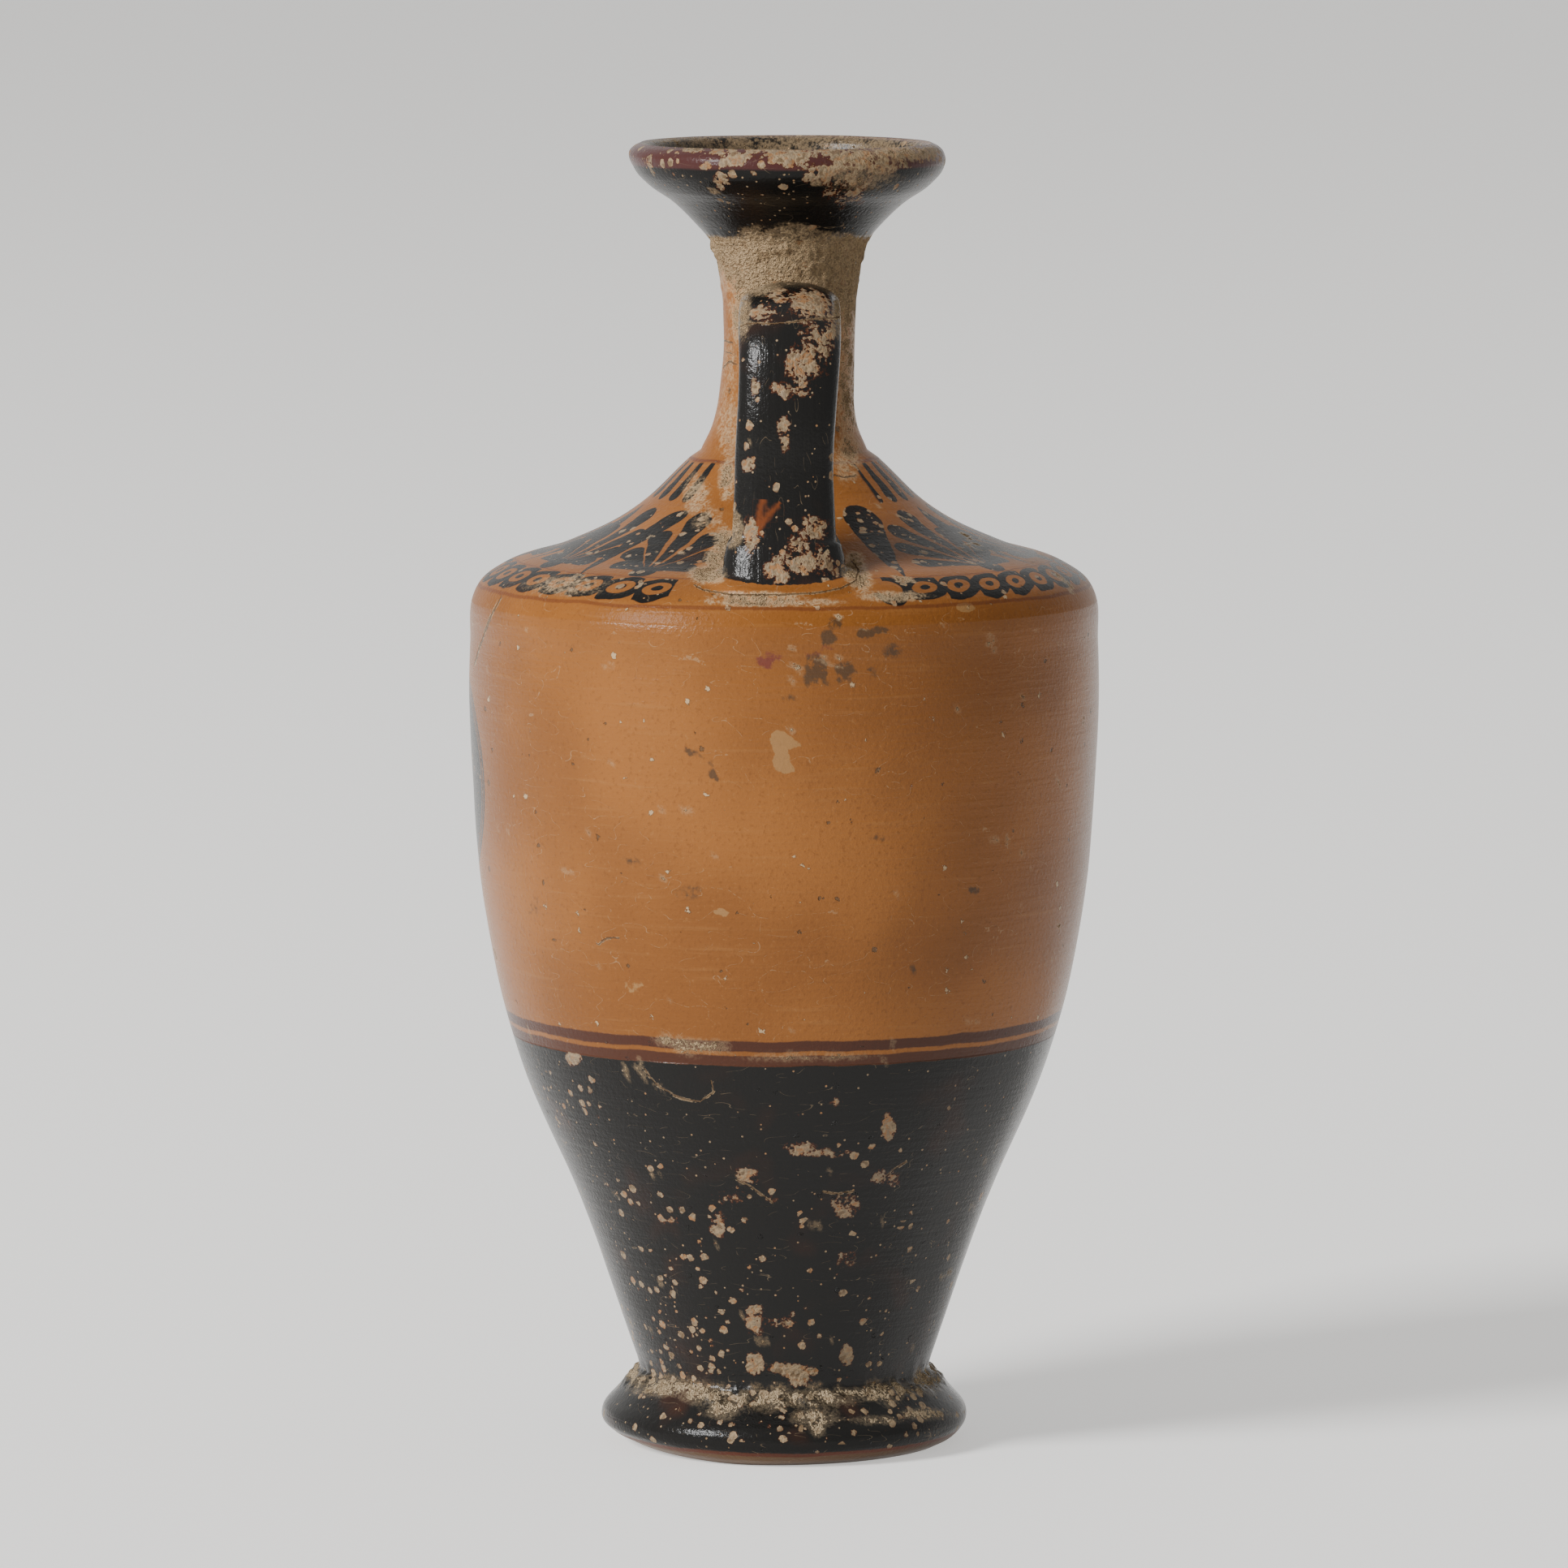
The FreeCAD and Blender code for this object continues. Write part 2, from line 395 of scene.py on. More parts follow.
class Photo:
    """The photograph's frame: where a place of the jar falls in it, and what lies under its pixels."""

    def __init__(self, piece, focal):
        self.places, self.ways = read_mesh(piece)
        self.forward = (camera_target - camera_place).normalized()
        self.right = Vector((1, 0, 0))
        self.up = self.right.cross(self.forward)
        self.focal = focal
        apart = self.places - np.array(camera_place) / MM
        depth = apart @ np.array(self.forward)
        self.x = photo_centre + focal * (apart @ np.array(self.right)) / depth
        self.y = photo_centre - focal * (apart @ np.array(self.up)) / depth
        self.facing = np.einsum("ij,ij->i", self.ways, apart) < 0
        mesh = piece.data
        self.tree = BVHTree.FromPolygons([v.co for v in mesh.vertices], [p.vertices for p in mesh.polygons])

    def seen(self, x, y):
        """The place under a pixel of the photograph, in millimetres, or None beside the jar."""
        across = (x - photo_centre) / self.focal
        above = (photo_centre - y) / self.focal
        way = (self.forward + self.right * across + self.up * above).normalized()
        place = self.tree.ray_cast(camera_place, way)[0]
        return None if place is None else np.array(place) / MM

    def near(self, place, reach):
        return self.facing & (np.linalg.norm(self.places - place, axis=1) < reach)

    def patches(self, patches):
        """Oval patches as x, y, half width and half height in mm, and strength."""
        values = np.zeros(len(self.places))
        for x, y, wide, high, strength in patches:
            place = self.seen(x, y)
            if place is None:
                continue
            near = self.near(place, 1.7 * max(wide, high) + 3)
            off = np.hypot((self.x - x) / (wide * pixels_per_mm), (self.y - y) / (high * pixels_per_mm))
            values[near] = np.maximum(values[near], (strength * np.clip(1.5 - off, 0, 1))[near])
        return values

    def line(self, distances, pixels):
        """Distance in mm to a line through pixels, below 0 on its other side, if nearer than the last."""
        last = len(pixels) - 2
        for number, ((ax, ay), (bx, by)) in enumerate(zip(pixels, pixels[1:])):
            middle = self.seen((ax + bx) / 2, (ay + by) / 2)
            if middle is None:
                continue
            length = math.hypot(bx - ax, by - ay)
            along = ((self.x - ax) * (bx - ax) + (self.y - ay) * (by - ay)) / length
            aside = ((self.x - ax) * (by - ay) - (self.y - ay) * (bx - ax)) / length
            before = np.maximum(-along, 0) * (end_falloff if number == 0 else 1)
            beyond = before + np.maximum(along - length, 0) * (end_falloff if number == last else 1)
            away = np.hypot(aside, beyond) / pixels_per_mm
            away = np.where(self.near(middle, 0.7 * length / pixels_per_mm + 8), away, away + 9)
            closer = away < np.abs(distances)
            distances[closer] = np.where(aside < 0, -away, away)[closer]


def store(piece, name, values):
    """Keeps one number for each corner of the mesh, for the materials to read."""
    layer = piece.data.attributes.new(name, "FLOAT", "POINT")
    layer.data.foreach_set("value", values.astype(np.float32))


# Wear in the photograph's frame: x and y in pixels, half width and half height in mm, strength
chipped = [
    (1095, 1390, 1.3, 2.5, 1), (706, 1302, 1.3, 1.6, 1), (985, 1415, 3.2, 1.6, 0.62),
    (1018, 1420, 3, 1.0, 0.6), (1045, 1420, 2, 1.0, 0.55), (920, 1450, 2.5, 2, 0.62),
    (900, 1475, 3.5, 1.5, 0.56), (950, 1478, 2, 1, 0.5), (1090, 1450, 3.2, 2, 0.58),
    (1040, 1485, 3.5, 2.5, 0.58), (885, 1510, 1.8, 3, 0.56), (825, 1500, 2.5, 1.2, 0.6),
    (930, 1625, 2.5, 3, 0.6), (965, 1630, 3, 1.5, 0.55), (930, 1680, 1.6, 2, 1), (965, 1683, 2.5, 1, 1),
    (985, 1695, 2.5, 2, 0.9), (1043, 1670, 1.2, 2, 1), (1040, 1550, 2.5, 1.5, 0.55),
    (980, 1375, 1, 0.8, 0.6), (1030, 1355, 1.5, 1, 0.5), (852, 183, 2.2, 0.8, 0.5),
    (893, 186, 3.5, 1.0, 0.48), (800, 196, 1.5, 1.0, 0.45), (945, 186, 4.5, 1.4, 0.56),
    (975, 192, 4, 2.0, 0.66), (1035, 188, 6, 2.0, 0.6), (1095, 186, 5, 1.8, 0.55),
    (1140, 190, 4, 1.6, 0.55), (888, 222, 1.3, 1.6, 1), (870, 205, 1, 0.8, 0.8), (905, 197, 2.2, 1.1, 0.9),
    (1010, 215, 4, 2.5, 0.52), (1045, 222, 5, 4, 0.46), (1080, 204, 6, 2, 0.5), (1040, 243, 5, 2.5, 0.44),
    (1000, 375, 4, 3, 0.7), (960, 365, 3, 2, 0.5), (940, 385, 3, 2, 0.55), (1005, 420, 4, 4, 0.55),
    (990, 450, 4.5, 3.5, 0.68), (975, 480, 4.5, 2, 0.62), (1022, 410, 1.5, 6, 0.55),
    (930, 475, 0.8, 2.5, 0.7), (967, 535, 1.2, 3.5, 0.9), (922, 573, 1.2, 1.5, 0.9),
    (1005, 650, 3.5, 2.5, 0.55), (985, 672, 2.5, 2, 0.65), (975, 695, 4, 2.2, 0.7), (1010, 690, 2, 3, 0.55),
    (1025, 700, 2, 3, 0.5), (925, 660, 1.5, 4, 0.7), (960, 705, 3, 2, 0.8)]
dotted = [
    (830, 1650, 10, 12, 0.65), (880, 1560, 8, 10, 0.2), (700, 1360, 6, 6, 0.5), (800, 1480, 8, 6, 0.3),
    (1065, 650, 5, 6, 1.0), (1130, 690, 12, 4, 0.8), (1100, 640, 6, 5, 0.6), (990, 680, 6, 6, 0.8),
    (780, 700, 12, 4, 0.4), (850, 650, 5, 4, 0.3), (950, 560, 4, 14, 0.4), (1000, 1740, 26, 5, 0.7)]
pale_clay = [
    (962, 912, 2.0, 1.9, 1), (980, 916, 1.1, 0.9, 0.9), (963, 938, 1.6, 2.2, 1), (970, 948, 1.3, 0.7, 0.9),
    (1190, 748, 2.0, 1.0, 0.8), (780, 1215, 3, 2, 0.5), (890, 1125, 1.5, 1.0, 0.9)]
purple_strokes = [
    (944, 815, 1.5, 1.2, 1), (953, 808, 1.6, 1.0, 0.7), (1000, 806, 2.2, 0.5, 0.5),
    (1018, 798, 2.0, 0.5, 0.5)]
grey_stains = [
    (1020, 786, 1.6, 1.4, 0.9), (1030, 768, 1.1, 1.6, 0.7), (1066, 781, 1.5, 0.9, 0.9),
    (1084, 776, 1.3, 0.8, 0.8), (1099, 802, 1.6, 1.5, 0.65), (1001, 818, 1.0, 2.4, 0.9),
    (1012, 842, 1.5, 0.9, 0.9), (1042, 828, 1.5, 1.8, 0.95), (1076, 828, 1.0, 1.4, 0.6),
    (1035, 842, 1.3, 0.8, 0.7), (994, 842, 1.0, 1.0, 0.8), (1016, 822, 0.9, 1.6, 0.7),
    (878, 953, 1.1, 0.9, 1), (852, 928, 1.4, 0.6, 0.7), (873, 934, 1.0, 0.5, 0.6), (780, 1060, 2, 1, 0.5),
    (1085, 1030, 3, 1, 0.4), (850, 1100, 3, 1.4, 0.45), (1200, 1098, 0.8, 1.0, 0.8),
    (1125, 1192, 0.8, 0.8, 0.8), (660, 1120, 2, 3, 0.3), (1019, 948, 0.5, 1.1, 0.7),
    (975, 862, 2.2, 0.4, 0.5)]
limed = [
    (903, 652, 1.7, 3.0, 0.66), (894, 671, 1.9, 3.0, 0.66), (884, 692, 2.2, 2.4, 0.64),
    (872, 708, 3.2, 1.6, 0.62), (858, 612, 2.6, 4, 0.34), (872, 640, 3, 3, 0.24), (1052, 700, 2, 3, 0.6),
    (1060, 715, 2, 2, 0.6), (950, 742, 12, 0.8, 0.5), (1004, 1747, 4.0, 1.8, 0.56),
    (1008, 1760, 1.3, 1.6, 0.6), (1078, 1750, 4.5, 0.9, 0.5), (1140, 1742, 5.0, 1.1, 0.54),
    (890, 1736, 3.5, 1.8, 0.56), (820, 1710, 6, 1.6, 0.56), (935, 290, 3.5, 1.6, 0.56),
    (980, 286, 5, 1.4, 0.56), (1030, 292, 4, 1.0, 0.5), (971, 784, 0.6, 1.2, 0.5),
    (976, 799, 0.9, 0.6, 0.5), (990, 769, 1.5, 0.4, 0.5), (1000, 775, 0.6, 0.5, 0.5),
    (1059, 776, 0.8, 0.4, 0.6), (1035, 760, 0.4, 0.6, 0.6), (1024, 820, 0.4, 0.4, 0.6),
    (933, 841, 0.5, 0.5, 0.6), (880, 950, 0.4, 0.5, 0.6), (1105, 190, 7, 1.6, 0.42),
    (1060, 215, 7, 3.0, 0.36), (1045, 470, 2.5, 14, 0.45), (1045, 560, 2.5, 5, 0.42),
    (915, 385, 1.5, 5, 0.5), (1042, 380, 1.6, 5, 0.62), (1033, 385, 1.0, 4, 0.7), (908, 392, 0.9, 4, 0.6),
    (896, 590, 1.5, 4, 0.5), (935, 356, 4, 1.2, 0.6), (1010, 352, 4, 1.4, 0.7), (860, 1290, 6, 1.5, 0.55),
    (825, 1282, 3, 1.2, 0.6), (1000, 1302, 12, 1.0, 0.42), (930, 735, 8, 1.0, 0.5),
    (1100, 735, 6, 1.0, 0.45), (695, 722, 8, 1.8, 0.27), (897, 520, 2.4, 8, 0.30), (900, 450, 1.6, 6, 0.26)]
brown_streaks = [[(940, 612), (936, 634), (931, 656), (942, 640), (961, 621)]]
hairline_cracks = [
    [(1049, 690), (1058, 703), (1054, 716), (1036, 725), (1006, 731), (960, 733), (904, 733), (866, 727),
     (853, 719)],
    [(905, 404), (925, 398), (960, 399), (1000, 393), (1034, 391)], [(890, 454), (900, 444), (907, 452)],
    [(888, 418), (903, 423)], [(1025, 585), (1040, 588), (1055, 586)],
    [(618, 735), (606, 757), (597, 780), (590, 800), (584, 822)], [(735, 1165), (748, 1156), (768, 1156)],
    [(790, 1310), (806, 1335), (835, 1352)], [(835, 1352), (862, 1358), (880, 1345), (876, 1328)],
    [(905, 1452), (925, 1462), (955, 1484)], [(1012, 1468), (1032, 1471), (1054, 1467)],
    [(1082, 1458), (1100, 1442), (1118, 1430)]]


def store_wear(piece, focal):
    """Paints the wear that the photograph shows into attributes of the mesh."""
    photo = Photo(piece, focal)
    x, y, z = photo.places.T
    reach = np.hypot(x, y)
    store(piece, "bare", photo.patches(chipped))
    store(piece, "dots", photo.patches(dotted))
    store(piece, "pale", photo.patches(pale_clay))
    store(piece, "purple", photo.patches(purple_strokes))
    store(piece, "stain", photo.patches(grey_stains))
    crust = photo.patches(limed)
    wave = lumps(photo.places, 0.12, 8)
    rough = lumps(photo.places, 0.4, 9)
    junction = ramp(z, 9.4 - 2.4 * wave + 2.0 * rough, 12.0)
    junction = junction * (1 - ramp(z, 12.9, 14.2 + 1.8 * wave + 1.2 * rough))
    junction = (0.54 + 0.30 * rough) * junction * ramp(reach, 23, 26)
    throat = ramp(z, 199 + 10 * wave + 3 * rough, 217) * (1 - ramp(z, 221.5, 223.5))
    throat = throat * (reach < 18) * (reach > 10)
    throat = throat * (1 - 0.75 * ramp(-x, 4, 12) * (1 - ramp(z, 213, 220)))
    inward = photo.ways[:, 0] * x + photo.ways[:, 1] * y < 0
    bowl = 0.34 * (z > bowl_foot) * inward
    store(piece, "crust", np.maximum(np.maximum(crust, bowl), np.maximum(junction, throat)))
    for name, lines in (("crack", hairline_cracks), ("streak", brown_streaks)):
        distances = np.full(len(x), 999.0)
        for pixels in lines:
            photo.line(distances, pixels)
        distances[np.abs(distances) > line_reach] = 99.0
        store(piece, name, distances)


def path_through(knots, count):
    """So many places along straight runs from knot to knot."""
    steps = np.linspace(0, len(knots) - 1, count)
    return np.stack([np.interp(steps, range(len(knots)), knots[:, axis]) for axis in (0, 1)], 1)


def strap_frame(places):
    """How far along the handle each place lies, and how far round it, both from 0 to 1."""
    path = path_through(np.array([(-reach, height) for reach, height, _ in strap_line]), 200)
    gaps = np.linalg.norm(places[:, None, 1:] - path[None], axis=2)
    nearest = gaps.argmin(1)
    ahead = np.gradient(path, axis=0)[nearest]
    ahead /= np.linalg.norm(ahead, axis=1)[:, None]
    off = places[:, 1:] - path[nearest]
    outward = off[:, 0] * -ahead[:, 1] + off[:, 1] * ahead[:, 0]
    round_it = np.arctan2(places[:, 0], outward) / (2 * math.pi) + 0.5
    return nearest / 199, round_it


def wall_length(places):
    """How far up its profile each place of the outside lies, from 0 at the ring to 1 at the lip."""
    knots = np.array([knot for line in ("ring", "foot", "junction", "wall", "step", "neck", "cup")
                      for knot in lump_lines[line][2]], float)
    path = path_through(knots, 600)
    run = np.concatenate([[0], np.cumsum(np.linalg.norm(np.diff(path, axis=0), axis=1))])
    flat = np.stack([np.hypot(places[:, 0], places[:, 1]), places[:, 2]], 1)
    nearest = np.concatenate([
        np.linalg.norm(part[:, None] - path[None], axis=2).argmin(1) for part in np.array_split(flat, 40)])
    return run[nearest] / run[-1]


# Places on the flat map, as left, low, width and height, and the spare where a turn closes
map_places = {
    "outside": (0, 0.002, 1, 0.848), "handle": (0.005, 0.865, 0.23, 0.12),
    "bowl": (0.26, 0.86, 0.73, 0.06), "room": (0.26, 0.93, 0.73, 0.06)}
turn_spare = 1.01
strap_spare = 1.06


def unwrap(piece):
    """Lays the jar out on one flat map: outside, handle, bowl, and below them the room and the hollow."""
    places, _ = read_mesh(piece)
    turn = 0.5 + np.arctan2(places[:, 0], -places[:, 1]) / (2 * math.pi)
    height = wall_length(places)
    on_strap = (places[:, 1] < -10) & (np.abs(places[:, 0]) < 16) & (places[:, 2] > 150)
    along = np.zeros(len(places))
    around = np.zeros(len(places))
    along[on_strap], around[on_strap] = strap_frame(places[on_strap])
    while piece.data.uv_layers:
        piece.data.uv_layers.remove(piece.data.uv_layers[0])
    layer = piece.data.uv_layers.new(name="OFBake")
    spots = np.zeros((len(piece.data.loops), 2))
    for face in piece.data.polygons:
        corners = list(face.vertices)
        finish = finishes[face.material_index]
        across = around[corners] if finish == "handle_slip" else turn[corners]
        across = np.where((across < 0.5) & (across.max() - across.min() > 0.5), across + 1, across)
        outward = face.normal.dot(Vector((face.center.x, face.center.y, 0)))
        if finish == "handle_slip":
            kind, across, up = "handle", along[corners], across / strap_spare
        elif face.center.z > bowl_foot * MM and outward < 0:
            kind, across, up = "bowl", across / turn_spare, np.hypot(*places[corners, :2].T) / 30
        elif finish == "bare_clay":
            kind, across, up = "room", across / turn_spare, places[corners, 2] / 225
        else:
            kind, across, up = "outside", across / turn_spare, height[corners]
        left, low, wide, high = map_places[kind]
        spots[list(face.loop_indices)] = np.stack([left + wide * across, low + high * up], 1)
    layer.data.foreach_set("uv", spots.ravel())


class Value:
    """A socket of a node tree, with which sums can be written."""

    def __init__(self, tree, socket):
        self.tree = tree
        self.socket = socket

    def __add__(self, other):
        return maths("ADD", self, other)

    def __sub__(self, other):
        return maths("SUBTRACT", self, other)

    def __mul__(self, other):
        return maths("MULTIPLY", self, other)

    def __truediv__(self, other):
        return maths("DIVIDE", self, other)

    def __rsub__(self, other):
        return maths("SUBTRACT", other, self)

    __radd__ = __add__
    __rmul__ = __mul__


def plug(value, socket):
    """Links a value to a socket, or writes a plain number or colour there."""
    if isinstance(value, Value):
        value.tree.links.new(value.socket, socket)
    else:
        socket.default_value = value


def new_node(kind, values, **settings):
    """A node in the tree of the values, which are plugged in one after the other."""
    tree = next(value.tree for value in values if isinstance(value, Value))
    node = tree.nodes.new("ShaderNode" + kind)
    for setting, choice in settings.items():
        setattr(node, setting, choice)
    for value, socket in zip(values, node.inputs):
        plug(value, socket)
    return node, [Value(tree, socket) for socket in node.outputs]


def maths(operation, *values):
    return new_node("Math", values, operation=operation)[1][0]


def fade(value, low, high, start=0.0, end=1.0):
    """Goes smoothly from start to end while the value goes from low to high."""
    return new_node("MapRange", (value, low, high, start, end), interpolation_type="SMOOTHSTEP")[1][0]


def both(first, second):
    return maths("MINIMUM", first, second)


def either(first, second):
    return maths("MAXIMUM", first, second)


def absolute(value):
    return maths("ABSOLUTE", value)


def span(first, second):
    """The distance that two steps at right angles make."""
    return maths("SQRT", first * first + second * second)


def within(value, low, high, soft):
    """1 between low and high, with soft edges."""
    return both(fade(value, low - soft, low + soft), fade(value, high + soft, high - soft))


def switch(condition, first, second):
    """The first value where the condition is 0, the second where it is 1."""
    return first + condition * (second - first)


def blend(factor, first, second):
    """Goes from the first colour to the second as the factor rises."""
    node = factor.tree.nodes.new("ShaderNodeMix")
    node.data_type = "RGBA"
    for given, number in ((factor, 0), (first, 6), (second, 7)):
        plug(given, node.inputs[number])
    return Value(factor.tree, node.outputs[2])


def stretch(place, factors, shift=(0, 0, 0)):
    """A place scaled along its three axes and moved."""
    return new_node("VectorMath", (place, factors, shift), operation="MULTIPLY_ADD")[1][0]


def turned_up(place):
    """A place turned a quarter round, so that what ran round the jar runs up it."""
    node, outputs = new_node("Mapping", (place,))
    node.inputs["Rotation"].default_value = (0, math.pi / 2, 0)
    return outputs[0]


def axes(place):
    return new_node("SeparateXYZ", (place,))[1]


def noise_at(place, scale, detail=2.0, rough=0.5, colour=False):
    """Soft noise from 0 to 1, with so many lumps in a millimetre."""
    node, outputs = new_node("TexNoise", (place,))
    node.inputs["Scale"].default_value = scale
    node.inputs["Detail"].default_value = detail
    node.inputs["Roughness"].default_value = rough
    return outputs[1 if colour else 0]


def cells_at(place, scale):
    """Distance from the middle of the nearest cell, in mm, and three random numbers for each cell."""
    node, outputs = new_node("TexVoronoi", (place,))
    node.inputs["Scale"].default_value = scale
    return outputs[0] / scale, axes(outputs[1])


groups = {}


def shader_group(name, label, draw, vectors, numbers, colours, outputs):
    """A node group that draw fills, with its inputs and outputs given as words in a line."""
    tree = bpy.data.node_groups.new(label, "ShaderNodeTree")
    kinds = (("NodeSocketVector", vectors), ("NodeSocketFloat", numbers), ("NodeSocketColor", colours))
    for kind, words in kinds:
        for word in words.split():
            tree.interface.new_socket(word, in_out="INPUT", socket_type=kind)
    for word in outputs.split():
        kind = "NodeSocketColor" if word == "Color" else "NodeSocketFloat"
        tree.interface.new_socket(word, in_out="OUTPUT", socket_type=kind)
    start = tree.nodes.new("NodeGroupInput")
    end = tree.nodes.new("NodeGroupOutput")
    given = {socket.name.lower(): Value(tree, socket) for socket in start.outputs if socket.name}
    for word, value in draw(**given).items():
        plug(value, end.inputs[word])
    groups[name] = tree


def use(name, **given):
    """Places a node group in the tree of the values it is given, and gives back its outputs."""
    tree = next(value.tree for value in given.values() if isinstance(value, Value))
    node = tree.nodes.new("ShaderNodeGroup")
    node.node_tree = groups[name]
    for word, value in given.items():
        plug(value, node.inputs[word])
    return {socket.name: Value(tree, socket) for socket in node.outputs}


def read(tree, name):
    """A number kept on the mesh."""
    node = tree.nodes.new("ShaderNodeAttribute")
    node.attribute_name = name
    return Value(tree, node.outputs["Fac"])


def draw_around(place):
    x, y, z = axes(place)
    turn = maths("ARCTAN2", x, y * -1.0) * (180 / math.pi)
    return {"Turn": turn, "Reach": span(x, y), "Height": z}


def draw_sway(place, amount):
    slow = noise_at(place, 0.12, 1, 0.5)
    quick = noise_at(place, 1.1, 2, 0.5)
    return {"Sway": ((slow - 0.5) * 2.0 + (quick - 0.5) * 0.8) * amount}


def draw_petal(along, across, length, width):
    """A drop that starts as a point and ends in a round cap."""
    straight = length - width
    side = absolute(across)
    flank = width * along / straight - side
    ahead = along - straight
    cap = width - span(ahead, side)
    inside = switch(maths("GREATER_THAN", along, straight), flank, cap)
    return {"Mask": fade(inside, -0.12, 0.12)}


def draw_leaf(along, across, length, width):
    """A bud that starts as a point and is fullest near its other end."""
    share = maths("MAXIMUM", both(along / length, 1.0), 0.0)
    swell = width * maths("SINE", maths("POWER", share, 1.7) * math.pi)
    return {"Mask": fade(swell - absolute(across), -0.12, 0.12)}


def folded(turn, start, period):
    """The angle from the nearest of a row of marks that begins at start."""
    return maths("FLOORED_MODULO", turn - (start - period / 2), period) - period / 2


def polar(turn, reach):
    """Distance outward and sideways of a place from the jar's axis, seen from a mark."""
    angle = turn * (math.pi / 180)
    return reach * maths("COSINE", angle), reach * maths("SINE", angle)


def bud(group, x, y, base, tip, width, bow=0.0):
    """A single bud between two places of the shoulder."""
    length = math.hypot(tip[0] - base[0], tip[1] - base[1])
    ahead = ((tip[0] - base[0]) / length, (tip[1] - base[1]) / length)
    along = (x - base[0]) * ahead[0] + (y - base[1]) * ahead[1]
    across = (y - base[1]) * ahead[0] - (x - base[0]) * ahead[1]
    if bow:
        share = along / length
        across = across - share * (1.0 - share) * (4 * bow)
    return use(group, Along=along, Across=across, Length=length, Width=width)["Mask"]


def draw_shoulder(place):
    """Palmettes, buds, a chain of circles and tongues, painted round the shoulder."""
    shaken = stretch(noise_at(place, 0.22, 2, 0.5, colour=True), (1.1, 1.1, 0), (-0.55, -0.55, 0))
    place = new_node("VectorMath", (place, shaken))[1][0]
    x, y, z = axes(place)
    around = use("around", Place=place)
    side, reach = around["Turn"], around["Reach"]
    turn = maths("FLOORED_MODULO", side, 360.0)

    beyond = maths("GREATER_THAN", turn, first_bud_turn)
    row = folded(turn, first_bud_turn + heart_period / 2, heart_period)
    fan = switch(beyond, turn - first_heart_turn, row)
    outward, sideways = polar(fan, reach)
    inward = heart_reach - outward
    spread = maths("ARCTAN2", sideways, inward) * (180 / math.pi)
    number = both(either(maths("ROUND", spread / petal_angle), -3.0), 3.0)
    count = absolute(number)
    near_handle = both(1.0 - beyond, maths("LESS_THAN", number, 0.0))
    fall = switch(near_handle, petal_fall, petal_fall_at_handle)
    swing = (spread - number * petal_angle) * (math.pi / 180)
    far = span(inward, sideways)
    petals = use("petal", Along=far * maths("COSINE", swing), Across=far * maths("SINE", swing),
        Length=petal_length - fall * count, Width=petal_width - count * 0.12)["Mask"]
    hearts = fade(far, heart_size + 0.12, heart_size - 0.12)
    fans = both(either(petals, hearts), within(turn, 20.0, 342.7, 0.2))

    outward, sideways = polar(folded(turn, first_bud_turn, heart_period), reach)
    buds = use("leaf", Along=bud_base - outward, Across=sideways, Length=bud_length, Width=3.0)["Mask"]
    buds = both(buds, within(turn, 60.0, 292.0, 0.2))
    buds = either(buds, bud("petal", x, y, (21.9, -44.9), (13.1, -20.9), 3.8))
    buds = either(buds, bud("petal", x, y, (-37.47, -35.19), (-17.87, -19.16), 2.7, 3.0))

    rise = reach - chain_reach
    run = folded(turn, 28.6, chain_period) * (chain_reach * math.pi / 180) + rise * 0.5

    def oval(half_run, half_rise):
        return span(run / half_run, rise / half_rise)

    link = both(fade(oval(5.1, 3.0), 1.03, 0.97), fade(oval(2.55, 1.62), 0.95, 1.05))
    link = either(link, fade(oval(1.0, 0.7), 1.12, 0.88))
    chain = both(link, within(turn, 23.5, 337.8, 0.1))
    hook_run = (turn - 21.0) * (chain_reach * math.pi / 180)
    ring = absolute(span(hook_run, rise) - 2.9)
    open_side = either(fade(hook_run, -0.6, -0.4), fade(rise, 0.7, 0.9))
    chain = either(chain, both(fade(ring, 0.75, 0.55), open_side))

    outward, sideways = polar(folded(side, -57.7, tongue_period), reach)
    tongues = use("petal", Along=outward - tongue_start, Across=sideways, Length=tongue_high - tongue_start,
        Width=tongue_width)["Mask"]
    tongues = both(tongues, fade(reach, tongue_low - 0.15, tongue_low + 0.15))
    clear = either(fade(side, 44.0, 46.0), fade(side, -41.0, -43.0))
    tongues = both(tongues, clear)

    high = fade(z, 156.5, 157.5)
    black = both(either(either(fans, buds), either(chain, tongues)), high)
    thin = either(within(reach, 49.1, 49.4, 0.15), within(reach, 16.9, 17.5, 0.15))
    return {"Black": black, "Line": both(thin, high)}


